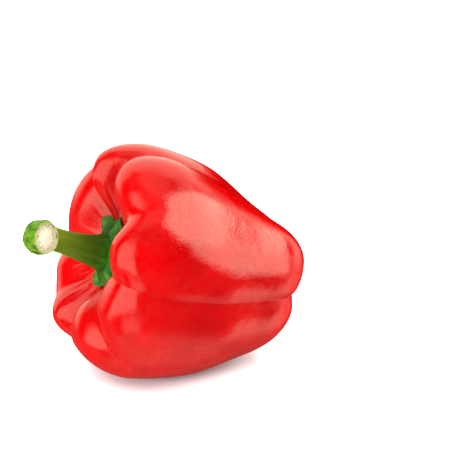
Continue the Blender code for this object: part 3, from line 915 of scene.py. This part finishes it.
def add_world():
    """White to the camera, the panels and the table to glossy rays, and a plain soft sky to all others."""
    world = bpy.data.worlds.new("studio")
    bpy.context.scene.world = world
    n = Nodes(world)
    ray = n.add("ShaderNodeTexCoord").outputs["Generated"]
    rise = n.height_of(ray)
    mirrored = brightest(n, *softboxes(n, ray, rise), *table_patches(n, ray, rise))
    overhead = n.math("POWER", n.math("MAXIMUM", rise, 0.0), 2.0)
    ambient = n.math("ADD", n.times(overhead, AMBIENT_OVERHEAD), AMBIENT_LEVEL)
    light_path = n.add("ShaderNodeLightPath").outputs
    glossy = light_path["Is Glossy Ray"]
    strength = n.add("ShaderNodeMix", {"data_type": "FLOAT"}, i0=glossy, i2=ambient, i3=mirrored).outputs[0]
    seen = light_path["Is Camera Ray"]
    strength = n.add("ShaderNodeMix", {"data_type": "FLOAT"}, i0=seen, i2=strength, i3=1.0).outputs[0]
    blush = n.times(facing(n, ray, 170.0, 0.5), n.ramp(rise, -0.05, -0.35))
    colour = n.mix(glossy, WHITE, n.mix(blush, LAMP_WARMTH, TABLE_BLUSH))
    background = n.add("ShaderNodeBackground", None, Color=colour, Strength=strength)
    n.add("ShaderNodeOutputWorld", None, Surface=background.outputs[0])
    # Found only by bounced rays, so that the sharp skin mirrors the softboxes without a veil.
    world.cycles.sampling_method = "NONE"


# Lamps aim at a point above the frame's origin; distances and sizes are in metres, power is in watts.
LAMP_TARGET = Vector((0.0, 0.0, 0.04))
Lamp = namedtuple("Lamp", "name azimuth elevation distance size power")
LAMPS = (
    Lamp("left_softbox", -76.0, 5.0, 0.8, 0.36, 12.0),
    Lamp("right_softbox", 90.0, 14.0, 0.9, 0.5, 8.0),
    Lamp("back_softbox", 152.0, 32.0, 0.9, 0.5, 6.0),
)


def add_lamps():
    """Soft lamps for the shading; the world above holds what the glossy skin mirrors."""
    for lamp in LAMPS:
        data = bpy.data.lights.new(lamp.name, "AREA")
        data.shape = "DISK"
        data.size = lamp.size
        data.energy = lamp.power
        light = bpy.data.objects.new(lamp.name, data)
        away = direction(lamp.azimuth, lamp.elevation)
        light.location = away * lamp.distance + LAMP_TARGET
        light.rotation_mode = "QUATERNION"
        light.rotation_quaternion = away.to_track_quat("Z", "Y")
        light.visible_glossy = False
        light.visible_camera = False
        bpy.context.scene.collection.objects.link(light)


FLOOR_REACH = 3.0     # metres


def add_floor():
    """A wide white tabletop. The glossy skin doesn't mirror it: the world's table stands in for it."""
    mesh = bpy.data.meshes.new("floor")
    corners = [(x * FLOOR_REACH, y * FLOOR_REACH, 0.0) for x, y in ((-1, -1), (1, -1), (1, 1), (-1, 1))]
    mesh.from_pydata(corners, [], [(0, 1, 2, 3)])
    floor = bpy.data.objects.new("floor", mesh)
    bpy.context.scene.collection.objects.link(floor)
    paper = bpy.data.materials.new("white_table")
    n = Nodes(paper)
    shader = n.add("ShaderNodeBsdfPrincipled", None, **{
        "Base Color": rgb(0.95, 0.95, 0.95), "Roughness": 0.9,
    })
    n.add("ShaderNodeOutputMaterial", None, Surface=shader.outputs[0])
    mesh.materials.append(paper)
    floor.visible_glossy = False


# ---- Camera: the photograph's angle ----
CAMERA_AZIMUTH = -21.10
CAMERA_ELEVATION = 20.62
CAMERA_DISTANCE = 0.700     # to the plane of the dimple's floor
CAMERA_LENS = 143.3         # mm, on a sensor this wide:
CAMERA_SENSOR = 36.0
CAMERA_ASIDE = 0.04558      # how far the dimple's floor lies left of the middle of the view
CAMERA_BELOW = 0.00616      # and how far below it


def add_camera():
    back = direction(CAMERA_AZIMUTH, CAMERA_ELEVATION)
    right = direction(CAMERA_AZIMUTH + 90.0, 0.0)
    up = back.cross(right)
    data = bpy.data.cameras.new("camera")
    data.lens = CAMERA_LENS
    data.sensor_width = CAMERA_SENSOR
    camera = bpy.data.objects.new("camera", data)
    dimple = Vector(to_frame((0.0, 0.0, 0.0)))
    camera.location = dimple + right * CAMERA_ASIDE + up * CAMERA_BELOW + back * CAMERA_DISTANCE
    camera.rotation_mode = "QUATERNION"
    camera.rotation_quaternion = Matrix((right, up, back)).transposed().to_quaternion()
    data.clip_start = 0.01
    data.clip_end = 50.0
    bpy.context.scene.collection.objects.link(camera)
    bpy.context.scene.camera = camera


make_fruit()
make_calyx()
make_stem()
add_floor()
add_world()
add_lamps()
add_camera()
bpy.context.scene.view_settings.view_transform = "Standard"
